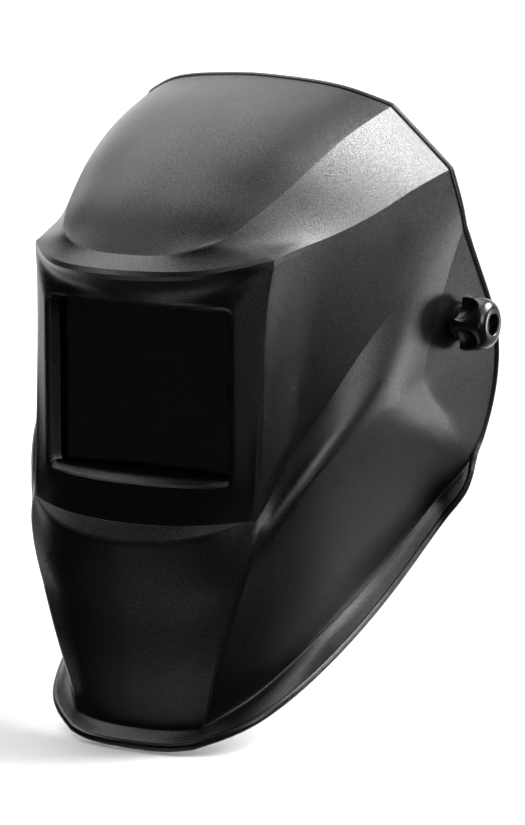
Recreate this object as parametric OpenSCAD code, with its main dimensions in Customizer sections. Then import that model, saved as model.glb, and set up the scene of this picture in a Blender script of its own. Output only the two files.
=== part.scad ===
/* [Shell] */
// Wall thickness of the moulded shell
wall = 2.4; // [2:0.1:3]
// Steps that each span of the shell's surface is divided into
shell_steps = 2; // [1:1:3]
// Clearance hole in the shell at each pivot, radius
pivot_hole_r = 9.2; // [8.9:0.1:10]

/* [Window] */
// Height of the window's centre below the pivot axis
window_drop = 23; // [20:0.5:26]
// Width of the cover lens
lens_w = 112; // [110:0.5:113]
// Height of the cover lens
lens_h = 93; // [91:0.5:94]
// Thickness of a cover lens
lens_t = 1; // [0.8:0.1:1.2]
// Front face of the outer cover lens, distance ahead of the pivot axis
lens_y = 135; // [134:0.1:135]

/* [Filter cartridge] */
// Width of the filter cartridge
filter_w = 110; // [108:0.5:110]
// Height of the filter cartridge
filter_h = 90; // [88:0.5:90]
// Thickness of the filter cartridge
filter_t = 9; // [8:0.5:9.5]
// Width of the liquid-crystal window
view_w = 96; // [80:1:96]
// Height of the liquid-crystal window
view_h = 42; // [35:1:44]

/* [Pivots] */
// Outer end of the pivot bolts, distance from the middle
bolt_end_x = 121.5; // [119:0.5:122]
// Radius of the pivot bolts
bolt_r = 4; // [3:0.5:4]
// Radius of the tension knobs over their lobes
knob_r = 15; // [14:0.5:16]
// Length of the tension knobs
knob_len = 15.5; // [14:0.5:17]
// Number of lobes on each tension knob
knob_lobes = 5; // [4:1:6]

/* [Headgear] */
// Half of the headband's inside width
band_half_w = 80; // [76:1:82]
// Half of the headband's inside length
band_half_l = 95; // [90:1:98]
// Height of the headband strip
band_h = 26; // [22:1:30]
// Thickness of the headband strip
band_t = 2; // [1.6:0.1:2.4]
// Travel of the rear cradle as the headband tightens
size_travel = 24; // [15:1:25]

/* [Hidden] */

// ---- Shell surface: outlines as points on the right half, mirrored for the other half ----
// Each grid is a list of rows, and neighbouring grids share their border points.
crown_rear = [[0, -28, 123], [28, -27, 121.5], [51, -22, 118], [71, -11, 109.5]];
crown_side = [
    [71, -11, 109.5], [67, -52, 98], [62.5, -85, 83], [57.5, -106, 71.5], [52.5, -122, 63],
    [47, -135, 55], [42, -143, 51.5]];
crown_front = [[0, -155, 45], [17, -154, 45.5], [31, -150.5, 48], [42, -143, 51.5]];
crown_1 = [[0, -70, 112.5], [28, -68, 110.5], [50, -61, 105.5], [67, -52, 98]];
crown_2 = [[0, -99, 97.5], [25, -97, 96], [46, -93, 91], [62.5, -85, 83]];
crown_3 = [[0, -120, 83], [23, -118, 81.5], [42, -113, 77.5], [57.5, -106, 71.5]];
crown_4 = [[0, -135, 69], [21, -134, 68.5], [39, -129.5, 66], [52.5, -122, 63]];
crown_5 = [[0, -146, 56], [19, -145, 56], [35, -141, 56], [47, -135, 55]];
crown = [crown_rear, crown_1, crown_2, crown_3, crown_4, crown_5, crown_front];

shoulder = [
    [97.5, 2.5, 78], [91.5, -29, 70], [86.5, -53, 62], [80.5, -75.5, 55.5], [75, -95, 51],
    [71, -112, 48], [68, -128, 44.5]];
brow = [[0, -168, 38.5], [20, -164, 38.5], [44, -153, 39.5], [68, -128, 44.5]];

rim_upper = [[97.5, 2.5, 78], [100, 4, 68], [102, 5.5, 58.5], [103, 7, 49.5]];
side_1 = [[94, -30, 54], [96, -32, 39]];
side_2 = [[88, -54, 41], [88.5, -62, 18]];
side_3 = [[80.5, -78, 35], [80, -88, 0]];
side_4 = [[74, -98, 31], [73, -107, -16]];
side_5 = [[69.5, -114, 29], [68.5, -121, -24]];
face_side = [[68, -128, 44.5], [65, -131, 18], [64, -134, -34], [63.5, -138, -85]];
side_crease = [
    [103, 7, 49.5], [97, -35.5, 24], [87, -71, -5.5], [77, -100.5, -39], [70, -119, -59],
    [66.5, -129.5, -74], [63.5, -138, -85]];

// Wing and lower side: rows run from the side crease down to the lower rim
wing_band = [
    [107, 13.5, 29], [101, -13, 17], [92.5, -66, -9], [81.5, -98, -42], [73.5, -118, -62],
    [68, -131.5, -79], [64.5, -140.5, -93]];
wing_crest = [
    [112, 27, -5], [98, -28, -26.5], [96, -67, -36], [85, -105.5, -58.5], [76, -122, -77],
    [67.5, -134, -95.5], [60.5, -143, -111.5]];
low_1 = [
    [109.5, 31, -36], [101, -6, -48.5], [96, -43, -57], [84, -83, -80], [75, -107, -100],
    [64, -127.5, -120], [55, -144, -128]];
low_2 = [
    [106, 27.5, -58], [102, 8, -66], [94.5, -14, -76], [81, -57, -103], [72.5, -90, -128],
    [60, -120, -148], [46.5, -145, -155]];
flare_in = [
    [104.5, 23.5, -68.5], [101, 14.5, -78], [88, -1, -96], [76, -36, -126], [68, -80, -150],
    [54, -117.5, -176], [37.5, -141.5, -187]];
flare_mid = [
    [104.5, 22, -72], [102, 13.5, -84], [89.5, 0, -102], [78.5, -36, -132.5], [70.5, -83, -157.5],
    [57, -124, -183], [36, -144.5, -195]];
rim_lower = [
    [105, 20, -76], [103, 13, -91], [91.5, 0, -111], [82.5, -35, -140.5], [73, -85, -168.5],
    [59, -131, -190.5], [35, -150, -201]];
wing = [side_crease, wing_band, wing_crest, low_1, low_2, flare_in, flare_mid, rim_lower];

lip_top = [[63.5, -138, -85], [46, -148, -87], [24, -154, -88.5], [0, -156.5, -89]];
lip_low = [[63.5, -138, -85], [47, -152, -91.5], [24, -159.5, -96.5], [0, -162.5, -98]];
chin_1 = [[64.5, -140.5, -93], [46, -152, -104], [24, -158.5, -108], [0, -161, -109]];
chin_2 = [[60.5, -143, -111.5], [44, -152, -118], [22, -157, -121], [0, -159, -122]];
chin_3 = [[55, -144, -128], [38, -151, -134], [19, -155, -137], [0, -156.5, -138]];
chin_4 = [[46.5, -145, -155], [32, -150, -160], [16, -152.5, -163], [0, -153.5, -164]];
chin_5 = [[37.5, -141.5, -187], [26, -145.5, -190], [13, -147.5, -192], [0, -148, -192]];
chin_6 = [[36, -144.5, -195], [25, -149, -197], [12.5, -151, -198], [0, -151.5, -198]];
chin_rim = [[35, -150, -201], [25, -154, -202.5], [12.5, -156.5, -203], [0, -157, -203]];
chin = [lip_low, chin_1, chin_2, chin_3, chin_4, chin_5, chin_6, chin_rim];

// Front face: rings from its outer edge to the floor of the window recess
face_outer = concat(brow, [face_side[1], face_side[2]], lip_top);
face_inset = [
    [0, -158.5, 31], [19, -155.5, 31.5], [41, -147, 32], [62, -134.5, 35], [62, -134.5, 15],
    [61, -136, -36], [60, -139, -80], [44, -147.5, -82], [23, -153, -83], [0, -155, -83.5]];
recess_outer = [
    [0, -152, 25], [18, -151, 24.8], [36, -147.5, 24], [54.5, -141, 23], [54.5, -141, 2],
    [54.5, -141, -46], [54.5, -141, -69], [36, -147.5, -69.5], [18, -151, -70], [0, -152, -70]];
recess_inner = [
    [0, -136.5, 21], [18, -136.5, 21], [36, -136.5, 21], [52, -136.5, 21], [52, -136.5, 0],
    [52, -136.5, -46], [52, -136.5, -67], [36, -136.5, -67], [18, -136.5, -67], [0, -136.5, -67]];

window_z = -window_drop;
running_gap = 0.05;
// Length of a cutter that passes right through, and how far it starts before the face it cuts
through = 40;
past = 1;

// Filter assembly, front to back
frame_w = 115;
frame_h = 96;
frame_y = -lens_y + lens_t + 0.1;
frame_lip = 1;
frame_depth = 12;
frame_view_w = 102;
frame_view_h = 84;
notch_w = 28;
filter_y = frame_y + frame_lip + 0.1;
case_split = 4.8;
case_wall = 2;
case_front_t = 1.5;
case_back_t = 1.5;
view_z = window_z - 2;
glass_t = 3.2;
glass_edge = 2;
solar_z = window_z + 33;
solar_view_w = 66;
solar_view_h = 15;
solar_t = 1.2;
solar_edge = 1;
sensor_x = [-44, 44];
sensor_hole_r = 4;
sensor_t = 2.6;
board_w = 102;
board_h = 17;
board_t = 1.2;
inner_lens_w = 104;
inner_lens_h = 51;
clip_y = filter_y + filter_t + 1.4;
clip_w = 7;
clip_h = 16;
clip_t = 1.2;
clip_post = 2.5;
clip_hook = 3.5;
tray_x = 34;
tray_y = filter_y + case_split;
tray_w = 28;
tray_h = 26;
tray_t = 4;
tray_slot_gap = 0.2;
cell_r = 10;
cell_t = 3.2;
dial_z = window_z - 37;
dial_x = [-38, -18, -2];
shade_dial_r = 7.5;
small_dial_r = 6;
dial_cap_t = 5;
control_shaft_r = 3;
control_shaft_y = 6.2;
groove_r = 1.3;
pointer_w = 1.2;
wire_r = 1;
wire_end = 3.2;
wire_x = frame_w / 2 + 1.3;
wire_y = filter_y + 6;
wire_z = window_z + 13;
wire_reach = 9;
wire_rise = 27;

// Pivot hardware, from the headband outwards
plate_x = 88;
bolt_head_r = 8;
bolt_head_t = 4;
distance_t = 2.5;
distance_len = 54;
distance_h = 22;
distance_back_y = -16;
distance_steps = [0, 10, 20];
stop_plate_r = 13;
stop_plate_t = 2;
stop_tab_w = 8;
stop_tab_start = 8;
stop_tab_len = 12;
bush_x = 96;
bush_flange_r = 19;
bush_flange_t = 2;
stop_peg_y = -4.5;
stop_peg_z = 17.3;
stop_peg_r = 1.5;
stop_peg_len = 5.5;
down_tab_angle = 124;
knob_x = 110.5;
washer_r = 9;
washer_t = 1.4;
nut_r = 6.5;
nut_len = 8;
knob_rim = 3;
lobe_cut_r = 8;
lobe_cut_out = 5;
knob_socket_r = 6;
knob_socket_t = 5;

// Headband oval and the rear cradle
band_y = 10;
band_end_y = 62;
boss_y = -14;
boss_len = 50;
boss_h = 22;
sweatband_t = 4.9;
sweatband_edge = 3;
cradle_y = band_y + band_half_l;
cradle_half_w = 38;
cradle_h = 40;
cradle_reach = 30;
arch_z = 8;
strap_leg = 14;
strap_t = 1.8;
front_strap_w = 74.2;
front_strap_h = 20;
front_strap_rise = 88;
front_strap_y = -14;
rear_strap_w = 73.9;
rear_strap_h = 18;
rear_strap_rise = 84;
rear_strap_y = 36;
rivet_r = 1.4;
rivet_head_r = 2.2;
rivet_head_t = 0.8;
rivet_len = 8;
rivet_z = 10.5;
rivet_start = 3.3;
front_rivet_y = -19;
rear_rivet_y = 41;
crown_peg_x = 9;
crown_peg_r = 1.5;
crown_peg_len = 3.5;
crown_pad_w = 30;
crown_pad_len = 68;
crown_pad_t = 3.5;
tail_h = 16;
tail_near = 2.4;
tail_t = 1.6;
tail_overlap = 26;
tail_gap_x = 10;
cradle_t = 12;
rear_pad_half_w = 36;
rear_pad_h = 44;
rear_pad_t = 7.9;
dial_shaft_r = 3;
spring_r_out = 11.6;
spring_r_in = 8;
cover_r = 21;
cover_t = 1.6;
pinion_r = 4.6;
pinion_t = 5;
pinion_tooth = 1.4;
pinion_reach = 6.2;
ratchet_knob_r = 19;
ratchet_knob_t = 13;
ratchet_groove_r = 4;
ratchet_dish_r = 11;
ratchet_dish_t = 2.5;

// Smooth curve through the points p, at t spans from its start
function curve_at(p, t) =
    let(
        last = len(p) - 1,
        i = min(floor(t), last - 1),
        f = t - i,
        chord = p[i + 1] - p[i],
        start = i > 0 ? (p[i + 1] - p[i - 1]) / 2 : chord,
        finish = i < last - 1 ? (p[i + 2] - p[i]) / 2 : chord)
    p[i] + f * start + f * f * (3 * chord - 2 * start - finish) + f * f * f * (start + finish - 2 * chord);
function refine(p) = [for (s = [0 : shell_steps * (len(p) - 1)]) curve_at(p, s / shell_steps)];
function flip(grid) = [for (c = [0 : len(grid[0]) - 1]) [for (row = grid) row[c]]];
function refine_grid(grid) =
    let(rows = [for (row = grid) refine(row)])
    flip([for (column = flip(rows)) refine(column)]);

function unit(v) = v / norm(v);
// Place on the head's middle line that the shell's wall thickens towards
function core(p) = [0, -30, min(max(p.z, -120), 50)];
function inward(p) = unit(core(p) - p);
function around_window(p) = unit([p.x, 0, p.z - window_z]);
// Point under p on the inner surface; spread turns the wall outwards around the window recess
function under(p, spread) =
    let(tangent = inward(p) + spread * around_window(p), step = p + wall * unit(tangent))
    [p.x == 0 ? 0 : step.x, step.y, step.z];
function inner_grid(grid) = [for (row = grid) [for (p = row) under(p, 0)]];
function inner_ring(grid) =
    [for (r = [0 : len(grid) - 1]) [for (p = grid[r]) under(p, 1.6 * r / (len(grid) - 1))]];
function mirrored(grid) = [for (row = grid) [for (p = row) [-p.x, p.y, p.z]]];

// A grid as loose four-point faces, turned over when flipped is true
function cells(grid, flipped) = [
    for (r = [0 : len(grid) - 2]) for (c = [0 : len(grid[0]) - 2])
        let(face = [grid[r][c], grid[r][c + 1], grid[r + 1][c + 1], grid[r + 1][c]])
        flipped ? [for (k = [3 : -1 : 0]) face[k]] : face];
// Both halves of a grid and of the surface under it
function both_skins(outer, under_it) = concat(
    cells(outer, false), cells(mirrored(outer), true),
    cells(under_it, true), cells(mirrored(under_it), false));
// Edge band that joins a row of the outer surface to the row under it
function edge_band(outer_row, under_row, flipped) = concat(
    cells([outer_row, under_row], flipped), cells(mirrored([outer_row, under_row]), !flipped));
function two_triangles(f) = [[f[0], f[1], f[2]], [f[0], f[2], f[3]]];
function has_area(t) = norm(cross(t[1] - t[0], t[2] - t[0])) > 0.000001;
function last_row(grid) = grid[len(grid) - 1];

// Grids of the finished outer surface
crown_skin = refine_grid(crown);
bevel_rear_skin = refine_grid([crown_side, shoulder]);
bevel_front_skin = refine_grid([crown_front, brow]);
side_skin = flip(refine_grid(flip([
    shoulder,
    concat([rim_upper[1]], [for (s = [side_1, side_2, side_3, side_4, side_5]) s[0]], [face_side[1]]),
    concat([rim_upper[2]], [for (s = [side_1, side_2, side_3, side_4, side_5]) s[1]], [face_side[2]]),
    side_crease])));
wing_skin = refine_grid(wing);
ledge_skin = refine_grid([lip_top, lip_low]);
chin_skin = refine_grid(chin);

// The face ring's outer row is the neighbours' own borders, so that its joints close
function split_ring(ring) =
    concat(
        refine([for (i = [0 : 3]) ring[i]]),
        [for (i = [1 : 3 * shell_steps]) curve_at([for (k = [3 : 6]) ring[k]], i / shell_steps)],
        [for (i = [1 : 3 * shell_steps]) curve_at([for (k = [6 : 9]) ring[k]], i / shell_steps)]);
face_rings = [face_outer, face_inset, recess_outer, recess_inner];
face_skin = flip([for (column = flip([for (ring = face_rings) split_ring(ring)])) refine(column)]);

module shell_skin() {
    faces = concat(
        both_skins(crown_skin, inner_grid(crown_skin)),
        both_skins(bevel_front_skin, inner_grid(bevel_front_skin)),
        both_skins(flip(bevel_rear_skin), inner_grid(flip(bevel_rear_skin))),
        both_skins(flip(side_skin), inner_grid(flip(side_skin))),
        both_skins(flip(wing_skin), inner_grid(flip(wing_skin))),
        both_skins(flip(ledge_skin), inner_grid(flip(ledge_skin))),
        both_skins(flip(chin_skin), inner_grid(flip(chin_skin))),
        both_skins(face_skin, inner_ring(face_skin)),
        edge_band(crown_skin[0], inner_grid(crown_skin)[0], true),
        edge_band(flip(bevel_rear_skin)[0], inner_grid(flip(bevel_rear_skin))[0], true),
        edge_band(flip(side_skin)[0], inner_grid(flip(side_skin))[0], true),
        edge_band(flip(wing_skin)[0], inner_grid(flip(wing_skin))[0], true),
        edge_band(last_row(wing_skin), last_row(inner_grid(wing_skin)), true),
        edge_band(last_row(chin_skin), last_row(inner_grid(chin_skin)), true),
        edge_band(last_row(face_skin), last_row(inner_ring(face_skin)), false));
    triangles = [for (f = faces) for (t = two_triangles(f)) if (has_area(t)) t];
    polyhedron(
        points = [for (t = triangles) each t],
        faces = [for (i = [0 : len(triangles) - 1]) [3 * i, 3 * i + 1, 3 * i + 2]]);
}

// Pivot frame: the X axis runs through both pivots; side is 1 for the left and -1 for the right
module at_pivot(side, x) translate([side * x, 0, 0]) rotate([0, side * 90, 0]) children();
module ring(r_out, r_in, h, segments) difference() {
    cylinder(r = r_out, h = h, $fn = segments);
    translate([0, 0, -1]) cylinder(r = r_in, h = h + 2, $fn = segments);
}
// Upright plate in the XZ plane, centred on the window, from y to y + t
module window_plate(w, h, y, t) translate([-w / 2, y, window_z - h / 2]) cube([w, t, h]);

module shell() color([0.07, 0.07, 0.075]) difference() {
    shell_skin();
    for (side = [-1, 1]) at_pivot(side, plate_x) cylinder(r = pivot_hole_r, h = through, $fn = 64);
}
// Flanged bush: its flange lies inside the shell and its sleeve fills the shell's pivot hole
module pivot_bush(side) color([0.1, 0.1, 0.1]) difference() {
    union() {
        at_pivot(side, bush_x) cylinder(r = bush_flange_r, h = bush_flange_t, $fn = 64);
        // Peg that meets the stop plate's tabs
        translate([side * (bush_x + past), stop_peg_y, stop_peg_z]) rotate([0, side * -90, 0])
            cylinder(r = stop_peg_r, h = stop_peg_len, $fn = 32);
        at_pivot(side, bush_x)
            cylinder(r = pivot_hole_r - 0.1, h = knob_x - washer_t - bush_x, $fn = 64);
    }
    at_pivot(side, bush_x - past) cylinder(r = bolt_r + running_gap, h = through, $fn = 48);
}

module front_cover_lens() color([0.02, 0.03, 0.03]) window_plate(lens_w, lens_h, -lens_y, lens_t);
module filter_frame() color([0.05, 0.05, 0.05]) difference() {
    window_plate(frame_w, frame_h, frame_y, frame_depth);
    window_plate(filter_w + 0.4, filter_h + 0.4, frame_y + frame_lip, frame_depth);
    window_plate(frame_view_w, frame_view_h, frame_y - past, frame_depth);
    // Finger notch over the cartridge
    translate([-notch_w / 2, frame_y + frame_lip, window_z]) cube([notch_w, frame_depth, frame_h]);
    // Way out for the battery tray
    translate([tray_x - tray_w / 2 - 0.6, tray_y - 0.4, window_z - frame_h])
        cube([tray_w + 1.2, tray_t + 0.8, frame_h]);
    for (side = [-1, 1])
        translate([side * (wire_x + past), wire_y, wire_z]) rotate([0, side * -90, 0])
            cylinder(r = wire_r + running_gap, h = 8, $fn = 24);
}
// Opening of the liquid-crystal window, from y onwards
module view_hole(y) translate([-view_w / 2, y, view_z - view_h / 2]) cube([view_w, through, view_h]);
module filter_front_case() color([0.06, 0.06, 0.065]) difference() {
    window_plate(filter_w, filter_h, filter_y, case_split);
    window_plate(
        filter_w - 2 * case_wall, filter_h - 2 * case_wall, filter_y + case_front_t, case_split);
    view_hole(filter_y - past);
    translate([-solar_view_w / 2, filter_y - past, solar_z - solar_view_h / 2])
        cube([solar_view_w, through, solar_view_h]);
    for (x = sensor_x) translate([x, filter_y - past, solar_z]) rotate([-90, 0, 0])
        cylinder(r = sensor_hole_r, h = through, $fn = 32);
}
module filter_back_case() color([0.08, 0.08, 0.085]) difference() {
    window_plate(filter_w, filter_h, filter_y + case_split, filter_t - case_split);
    window_plate(
        filter_w - 2 * case_wall, filter_h - 2 * case_wall,
        filter_y + case_split - past, filter_t - case_split - case_back_t + past);
    view_hole(filter_y);
    // Slot for the battery tray
    translate([tray_x - tray_w / 2 - tray_slot_gap, tray_y - 0.1, window_z - filter_h / 2 - past])
        cube([tray_w + 2 * tray_slot_gap, through, tray_h + 4]);
    for (x = dial_x) translate([x, filter_y, dial_z]) rotate([-90, 0, 0])
        cylinder(r = control_shaft_r + running_gap, h = through, $fn = 32);
}
module lcd_glass() color([0.05, 0.12, 0.08])
    translate([-view_w / 2 - glass_edge, filter_y + case_front_t, view_z - view_h / 2 - glass_edge])
        cube([view_w + 2 * glass_edge, glass_t, view_h + 2 * glass_edge]);
module solar_panel() color([0.06, 0.04, 0.12])
    translate([
        -solar_view_w / 2 - solar_edge, filter_y + case_front_t,
        solar_z - solar_view_h / 2 - solar_edge])
        cube([solar_view_w + 2 * solar_edge, solar_t, solar_view_h + 2 * solar_edge]);
module arc_sensors() color([0.15, 0.02, 0.02])
    for (x = sensor_x) translate([x, filter_y + 0.3, solar_z]) rotate([-90, 0, 0])
        cylinder(r = sensor_hole_r - 0.1, h = sensor_t, $fn = 32);
module circuit_board() color([0.05, 0.3, 0.12])
    translate([-board_w / 2, tray_y + 0.1, solar_z - board_h / 2 - 0.5])
        cube([board_w, board_t, board_h]);
module inner_cover_lens() color([0.6, 0.7, 0.7])
    translate([-inner_lens_w / 2, clip_y - lens_t - 0.1, view_z - inner_lens_h / 2])
        cube([inner_lens_w, lens_t, inner_lens_h]);
// Two clips on the frame that keep the inner cover lens against the cartridge
module frame_clips() color([0.06, 0.06, 0.06]) for (side = [-1, 1])
    translate([side * (frame_w / 2 - clip_w / 2) - clip_w / 2, 0, view_z - clip_h / 2]) {
        translate([0, frame_y + frame_depth, 0]) cube([clip_w, clip_post, clip_h]);
        translate([-side * clip_hook, clip_y, 0]) cube([clip_w, clip_t, clip_h]);
    }
module battery_tray() color([0.1, 0.1, 0.1]) translate([tray_x, tray_y, window_z - filter_h / 2])
    difference() {
        translate([-tray_w / 2, 0, 0]) cube([tray_w, tray_t, tray_h]);
        translate([0, -0.5, tray_h / 2]) rotate([-90, 0, 0])
            cylinder(r = cell_r + 0.2, h = cell_t + 0.6, $fn = 48);
    }
module coin_cell() color([0.7, 0.7, 0.72])
    translate([tray_x, tray_y + 0.1, window_z - filter_h / 2 + tray_h / 2]) rotate([-90, 0, 0])
        cylinder(r = cell_r, h = cell_t, $fn = 48);
// Dial: a shaft in the case and a grooved cap behind it
module dial(x, r) color([0.12, 0.12, 0.12]) translate([x, 0, dial_z]) rotate([-90, 0, 0]) {
    translate([0, 0, filter_y + control_shaft_y])
        cylinder(r = control_shaft_r, h = filter_t - control_shaft_y + 0.3, $fn = 32);
    translate([0, 0, filter_y + filter_t + 0.3]) difference() {
        cylinder(r = r, h = dial_cap_t, $fn = 48);
        for (a = [0 : 30 : 330]) rotate([0, 0, a]) translate([r + groove_r / 2, 0, -past])
            cylinder(r = groove_r, h = dial_cap_t + 2 * past, $fn = 16);
        translate([-pointer_w / 2, 0, dial_cap_t - past]) cube([pointer_w, r + past, 2 * past]);
    }
}
module shade_dial() dial(dial_x[0], shade_dial_r);
module sensitivity_dial() dial(dial_x[1], small_dial_r);
module delay_dial() dial(dial_x[2], small_dial_r);
// Wire bail: two round ends turn in the frame's sides and the bar lies across the cartridge's back
module retaining_wire() color([0.75, 0.75, 0.76]) {
    for (side = [-1, 1]) translate([side * wire_x, wire_y, wire_z]) {
        rotate([0, side * -90, 0]) cylinder(r = wire_r, h = wire_end, $fn = 24);
        sphere(r = wire_r, $fn = 24);
        rotate([-90, 0, 0]) cylinder(r = wire_r, h = wire_reach, $fn = 24);
        translate([0, wire_reach, 0]) {
            sphere(r = wire_r, $fn = 24);
            cylinder(r = wire_r, h = wire_rise, $fn = 24);
            translate([0, 0, wire_rise]) sphere(r = wire_r, $fn = 24);
        }
    }
    translate([-wire_x, wire_y + wire_reach, wire_z + wire_rise]) rotate([0, 90, 0])
        cylinder(r = wire_r, h = 2 * wire_x, $fn = 24);
}

module pivot_bolt(side) color([0.1, 0.1, 0.1]) union() {
    at_pivot(side, plate_x - bolt_head_t - past) cylinder(r = bolt_head_r, h = bolt_head_t, $fn = 6);
    at_pivot(side, plate_x - past) cylinder(r = bolt_r, h = bolt_end_x - plate_x + past, $fn = 48);
}
module outer_washer(side) color([0.12, 0.12, 0.12]) at_pivot(side, knob_x - washer_t)
    ring(washer_r, bolt_r + running_gap, washer_t - 0.1, 64);
module knob_outline(r) difference() {
    circle(r = r, $fn = 96);
    for (k = [0 : knob_lobes - 1]) rotate(360 / knob_lobes * (k + 0.5))
        translate([r + lobe_cut_out, 0]) circle(r = lobe_cut_r, $fn = 48);
}
module tension_knob(side) color([0.03, 0.03, 0.03]) at_pivot(side, knob_x) difference() {
    union() {
        cylinder(r = knob_r, h = knob_rim, $fn = 96);
        translate([0, 0, knob_rim]) linear_extrude(knob_len - 2 * knob_rim) knob_outline(knob_r - 1);
        translate([0, 0, knob_len - knob_rim]) linear_extrude(knob_rim) knob_outline(knob_r - 3);
    }
    translate([0, 0, -past]) cylinder(r = nut_r, h = nut_len + past + 0.1, $fn = 48);
    translate([0, 0, -past]) cylinder(r = bolt_r + 0.4, h = knob_len, $fn = 48);
    translate([0, 0, knob_len - knob_socket_t])
        cylinder(r = knob_socket_r, h = knob_socket_t + past, $fn = 48);
}
module knob_nut(side) color([0.7, 0.58, 0.3]) at_pivot(side, knob_x + 0.3)
    ring(nut_r, bolt_r + running_gap, nut_len - 0.3, 48);
// Plate with two tabs that set how far up and how far down the shell turns
module stop_plate(side) color([0.1, 0.1, 0.1]) at_pivot(side, plate_x + distance_t + 0.2)
    difference() {
        union() {
            cylinder(r = stop_plate_r, h = stop_plate_t, $fn = 64);
            for (a = [0, down_tab_angle]) rotate([0, 0, side * a])
                translate([-stop_tab_w / 2, stop_tab_start, 0])
                    cube([stop_tab_w, stop_tab_len, stop_plate_t]);
        }
        translate([0, 0, -past]) cylinder(r = bolt_r + running_gap, h = through, $fn = 48);
    }
// Plate with three joined holes that set how far the shell stands from the face
module distance_plate(side) color([0.09, 0.09, 0.09])
    translate([side > 0 ? plate_x : -plate_x - distance_t, 0, 0]) difference() {
        translate([0, distance_back_y, -distance_h / 2]) cube([distance_t, distance_len, distance_h]);
        for (y = distance_steps) translate([-past, y, 0]) rotate([0, 90, 0])
            cylinder(r = bolt_r + running_gap, h = through, $fn = 48);
        translate([-past, 0, -bolt_r / 2]) cube([through, distance_steps[2], bolt_r]);
    }

// Oval headband outline, and the strip between two distances outside the headband's inside face
function oval(out) = [
    for (a = [0 : 4 : 356])
        [(band_half_w + out) * cos(a), band_y + (band_half_l + out) * sin(a)]];
module strip(near, far, z, h) translate([0, 0, z]) linear_extrude(h) difference() {
    polygon(oval(far));
    polygon(oval(near));
}
// Part of the space with y below or above a plane
module ahead_of(y) translate([-150, y - 300, -150]) cube([300, 300, 300]);
module behind(y) translate([-150, y, -150]) cube([300, 300, 300]);
// Part of the space around the cradle, within half_w of the middle
module near_cradle(half_w) translate([-half_w, cradle_y - cradle_reach, -50])
    cube([2 * half_w, 2 * cradle_reach, 100]);
// Place on the ratchet's axis, with Z pointing to the rear from y behind the headband's inside
module at_cradle(y) translate([0, cradle_y + y, 0]) rotate([-90, 0, 0]) children();

module headband() color([0.1, 0.1, 0.1]) difference() {
    union() {
        intersection() {
            strip(0, band_t, -band_h / 2, band_h);
            ahead_of(band_end_y);
        }
        // Bosses that carry the distance plates
        for (side = [-1, 1])
            translate([side > 0 ? band_half_w - past : -plate_x + 0.1, boss_y, -boss_h / 2])
                cube([plate_x - band_half_w + 0.9, boss_len, boss_h]);
    }
    for (side = [-1, 1]) at_pivot(side, plate_x - bolt_head_t - past - 0.1)
        cylinder(r = bolt_head_r + 0.2, h = through, $fn = 48);
    rivet_holes(front_rivet_y);
    rivet_holes(rear_rivet_y);
}
module sweatband() color([0.13, 0.13, 0.14]) intersection() {
    strip(-sweatband_t - 0.3, -0.3, -band_h / 2 - sweatband_edge, band_h + 2 * sweatband_edge);
    ahead_of(-30);
}
// Strap over the head: an arch that ends on the headband's inside faces
function arch_line(w, rise) = concat(
    [[w, -strap_leg]], [for (a = [0 : 5 : 180]) [w * cos(a), rise * sin(a)]], [[-w, -strap_leg]]);
function backwards(p) = [for (k = [len(p) - 1 : -1 : 0]) p[k]];
module arch(w, rise, t, h, y) translate([0, y + h / 2, arch_z]) rotate([90, 0, 0])
    linear_extrude(h) polygon(concat(arch_line(w, rise), backwards(arch_line(w - t, rise - t))));
// Place of each rivet, with Z along its shank from inside the strap outwards
module at_rivet(side, y) translate([side * (front_strap_w - rivet_start), y, rivet_z])
    rotate([0, side * 90, 0]) children();
module rivet_holes(y) for (side = [-1, 1]) at_rivet(side, y)
    cylinder(r = rivet_r + running_gap, h = rivet_len + 4, $fn = 24);
module peg_holes(y) for (x = [-crown_peg_x, crown_peg_x])
    translate([x, y, arch_z + front_strap_rise - through / 2])
        cylinder(r = crown_peg_r + running_gap, h = through, $fn = 24);
module crown_strap_front() color([0.1, 0.1, 0.1]) difference() {
    arch(front_strap_w, front_strap_rise, strap_t, front_strap_h, front_strap_y);
    rivet_holes(front_rivet_y);
    peg_holes(front_strap_y);
}
module crown_strap_rear() color([0.1, 0.1, 0.1]) difference() {
    arch(rear_strap_w, rear_strap_rise, strap_t, rear_strap_h, rear_strap_y);
    rivet_holes(rear_rivet_y);
    peg_holes(rear_strap_y);
}
module crown_peg(x, y, rise) translate([x, y, arch_z + rise - 0.3]) {
    cylinder(r = crown_peg_r + 1, h = 1.5, $fn = 32);
    translate([0, 0, 0.5 - crown_peg_len]) cylinder(r = crown_peg_r, h = crown_peg_len, $fn = 32);
}
module crown_pegs() color([0.15, 0.15, 0.15]) for (x = [-crown_peg_x, crown_peg_x]) {
    crown_peg(x, front_strap_y, front_strap_rise);
    crown_peg(x, rear_strap_y, rear_strap_rise);
}
module crown_pad() color([0.14, 0.14, 0.15])
    translate([-crown_pad_w / 2, front_strap_y - 12, arch_z + rear_strap_rise - strap_t - 6.5])
        cube([crown_pad_w, crown_pad_len, crown_pad_t]);
// Rivets that hold the crown straps' ends to the headband
module band_rivets() color([0.6, 0.6, 0.62])
    for (side = [-1, 1]) for (y = [front_rivet_y, rear_rivet_y]) at_rivet(side, y) {
        cylinder(r = rivet_head_r, h = rivet_head_t, $fn = 32);
        cylinder(r = rivet_r, h = rivet_len + rivet_head_t / 2, $fn = 24);
        translate([0, 0, rivet_len]) cylinder(r = rivet_head_r, h = rivet_head_t, $fn = 32);
    }

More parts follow.
